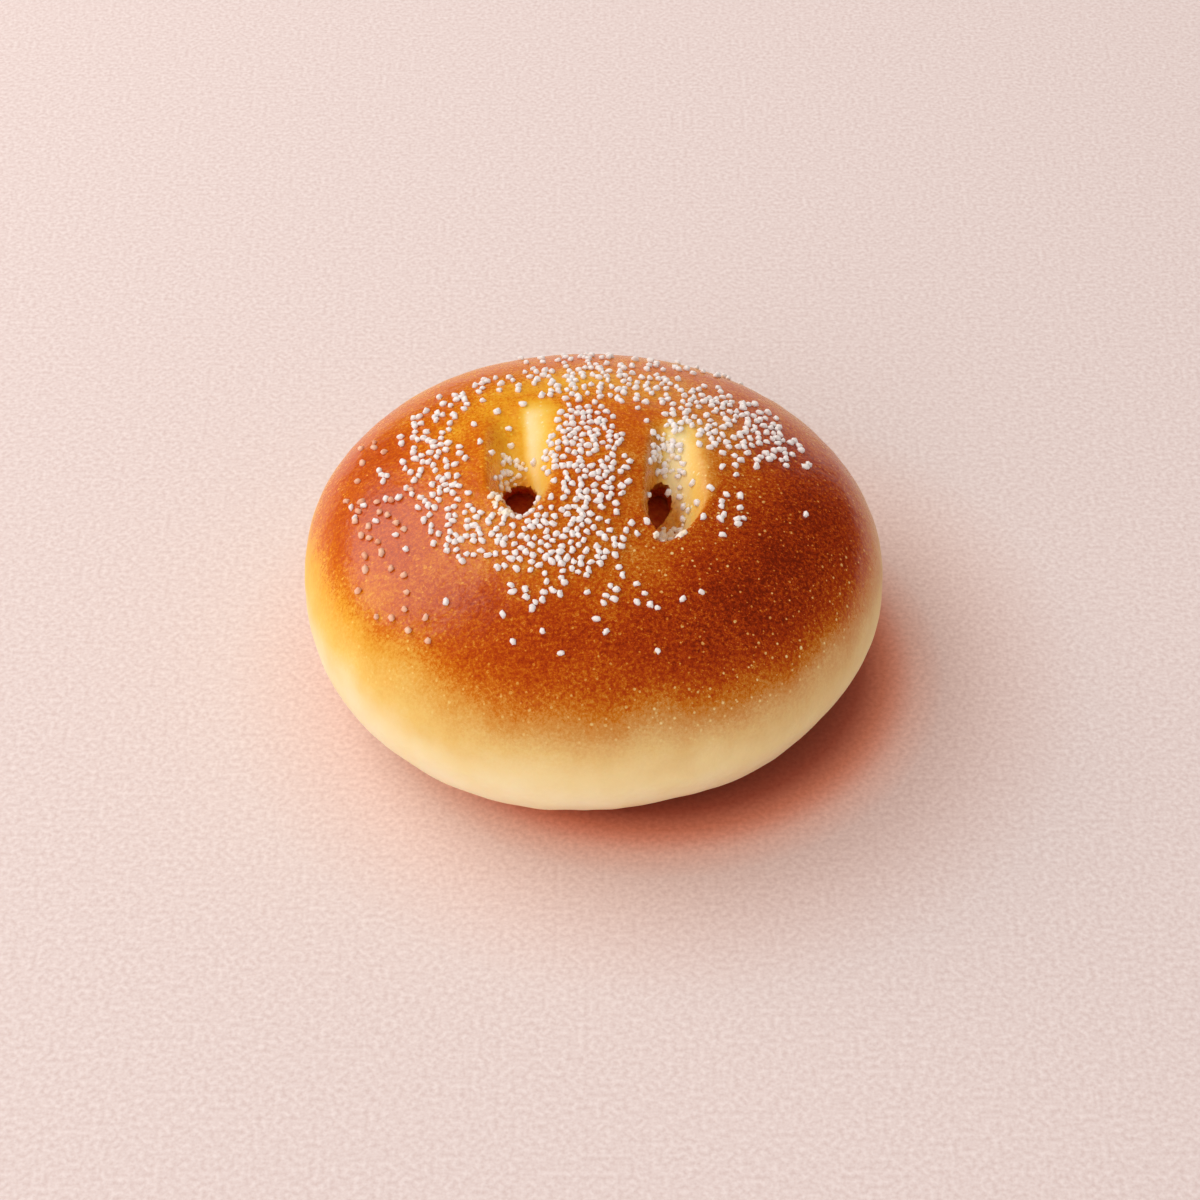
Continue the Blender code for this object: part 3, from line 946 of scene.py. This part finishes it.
def make_crumb_material():
    """Milk-dough crumb: cream, matt, fine-pored."""
    material, tree, shader, place = new_material("torn milk-dough crumb")
    tone, colour = grain_colour(tree, place, CRUMB_GRAIN, 3.0, CRUMB_STOPS)
    tree.links.new(colour, shader.inputs["Base Color"])
    set_shader(shader, [("Roughness", 0.6), ("IOR", 1.40)])
    return material


crumb_draw = random.Random(CRUMB_DRAW)
crumb_places = scattered_places(
    skin_tree, CRUMB_PATCHES, CRUMB_COUNT, CRUMB_SPACING, LOWEST_CRUMB_IN_SLIT, crumb_draw,
)
crumbs = join_shapes(
    "torn_crumbs",
    [make_crumb_bead(crumb_draw, place, normal) for place, normal in crumb_places],
    make_crumb_material(),
)
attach(crumbs, "root")
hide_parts("bread")


# Table, light and camera. A pale sheet with a painted shadow round the bun, a large soft
# window behind on the left, a pale wall behind, a fill from the front, and a camera above the
# front at 42 degrees.

FLOOR_SIZE = 3.0
FLOOR_TOOTH = 0.7
FLOOR_STOPS = ((0.3, linear("E2CECB")), (0.7, linear("F6E8E6")))
# Painted shadow round the bun: dark reddish brown at its foot, off towards the front right, fading to
# white; the paper's colour is multiplied by it.
SHADE_MIDDLE = (9.0 * MM, -4.0 * MM, 0.0)
SHADE_START = 27.0 * MM
SHADE_END = 62.0 * MM
SHADE_STOPS = (
    (0.00, linear("A45A44")),
    (1.00, linear("FFFFFF")),
    (0.07, linear("B4644C")),
    (0.17, linear("E4987A")),
    (0.22, linear("F4B49C")),
    (0.30, linear("FFDCCE")),
    (0.42, linear("FDEEE8")),
)


def make_floor_material():
    """Matt pale pink paper with a fine tooth; round the bun a painted shadow, reddish with painted
    bounce light.
    """
    material, tree, shader, place = new_material("pale paper")
    tooth, colour = grain_colour(tree, place, FLOOR_TOOTH, 4.0, FLOOR_STOPS)
    from_shade = add_node(
        tree, "ShaderNodeVectorMath", [("operation", "DISTANCE")],
        [(1, SHADE_MIDDLE)], [(0, place)],
    ).outputs["Value"]
    shade = add_node(
        tree, "ShaderNodeMapRange",
        values=[("From Min", SHADE_START), ("From Max", SHADE_END)],
        links=[("Value", from_shade)],
    ).outputs[0]
    # Painted shadow: reddish, darkest beside the bun.
    painted_shadow = add_node(
        tree, "ShaderNodeValToRGB", links=[("Fac", shade)], stops=SHADE_STOPS,
    ).outputs["Color"]
    colour = add_node(
        tree, "ShaderNodeMix", [("data_type", "RGBA"), ("blend_type", "MULTIPLY")],
        [(0, 1.0)], [(6, colour), (7, painted_shadow)],
    ).outputs[2]
    tree.links.new(colour, shader.inputs["Base Color"])
    bump = add_node(
        tree, "ShaderNodeBump", values=[("Strength", 0.5), ("Distance", 0.1 * MM)],
        links=[("Height", tooth)],
    ).outputs["Normal"]
    tree.links.new(bump, shader.inputs["Normal"])
    set_shader(shader, [("Roughness", 0.9), ("Specular IOR Level", 0.2)])
    return material


floor_bm = bmesh.new()
bmesh.ops.create_grid(floor_bm, x_segments=1, y_segments=1, size=0.5 * FLOOR_SIZE)
floor = add_piece("table_paper", floor_bm, make_floor_material())

Lamp = namedtuple("Lamp", "name size watts colour azimuth elevation mirrored")
LAMPS = (
    Lamp("window", 0.8, 5.0, linear("FFF7EF"), 146.0, 39.0, True),
    Lamp("far_wall", 0.7, 0.7, linear("FFF4EE"), 75.0, 4.0, True),
    Lamp("front_fill", 1.0, 3.8, linear("FFFAF6"), -125.0, 24.0, False),
)
LAMP_DISTANCE = 1.0
ROOM_COLOUR = linear("FFFAF6")
ROOM_STRENGTH = 0.58
BUN_MIDDLE = Vector((0.0, 0.0, 18.0 * MM))


def aim(item, place, target):
    item.location = place
    item.rotation_euler = (target - place).to_track_quat("-Z", "Y").to_euler()


def bearing(azimuth, elevation):
    """The direction that lies so many degrees round from +X and so many above the table."""
    azimuth = math.radians(azimuth)
    elevation = math.radians(elevation)
    return Vector((
        math.cos(azimuth) * math.cos(elevation),
        math.sin(azimuth) * math.cos(elevation),
        math.sin(elevation),
    ))


for lamp in LAMPS:
    light = bpy.data.lights.new(lamp.name, "AREA")
    light.shape = "DISK"
    light.size = lamp.size
    light.energy = lamp.watts
    light.color = lamp.colour[:3]
    light_object = bpy.data.objects.new(lamp.name, light)
    bpy.context.scene.collection.objects.link(light_object)
    light_object.visible_glossy = lamp.mirrored
    toward = bearing(lamp.azimuth, lamp.elevation)
    aim(light_object, BUN_MIDDLE + toward * LAMP_DISTANCE, BUN_MIDDLE)

world = bpy.data.worlds.new("pale room")
bpy.context.scene.world = world
world.use_nodes = True
background = world.node_tree.nodes["Background"]
background.inputs["Color"].default_value = ROOM_COLOUR
background.inputs["Strength"].default_value = ROOM_STRENGTH
world.cycles_visibility.glossy = False

FRAME_PIXELS = 1200.0
FOCAL_PIXELS = 2899.0
SENSOR_WIDTH = 36.0
CAMERA_DISTANCE = 410.0 * MM
CAMERA_ELEVATION = math.radians(42.0)
BUN_MIDDLE_PIXEL = (593.65, 551.2)

lens = bpy.data.cameras.new("camera")
lens.sensor_fit = "HORIZONTAL"
lens.sensor_width = SENSOR_WIDTH
lens.lens = FOCAL_PIXELS * SENSOR_WIDTH / FRAME_PIXELS
camera = bpy.data.objects.new("camera", lens)
bpy.context.scene.collection.objects.link(camera)
bpy.context.scene.camera = camera
back = Vector((0.0, -math.cos(CAMERA_ELEVATION), math.sin(CAMERA_ELEVATION)))
up = Vector((0.0, math.sin(CAMERA_ELEVATION), math.cos(CAMERA_ELEVATION)))
pixel = CAMERA_DISTANCE / FOCAL_PIXELS
aside = Vector((0.5 * FRAME_PIXELS - BUN_MIDDLE_PIXEL[0], 0.0, 0.0)) * pixel
below = up * (0.5 * FRAME_PIXELS - BUN_MIDDLE_PIXEL[1]) * pixel
aim(camera, BUN_MIDDLE + back * CAMERA_DISTANCE, BUN_MIDDLE + aside - below)
bpy.context.scene.view_settings.view_transform = "Standard"
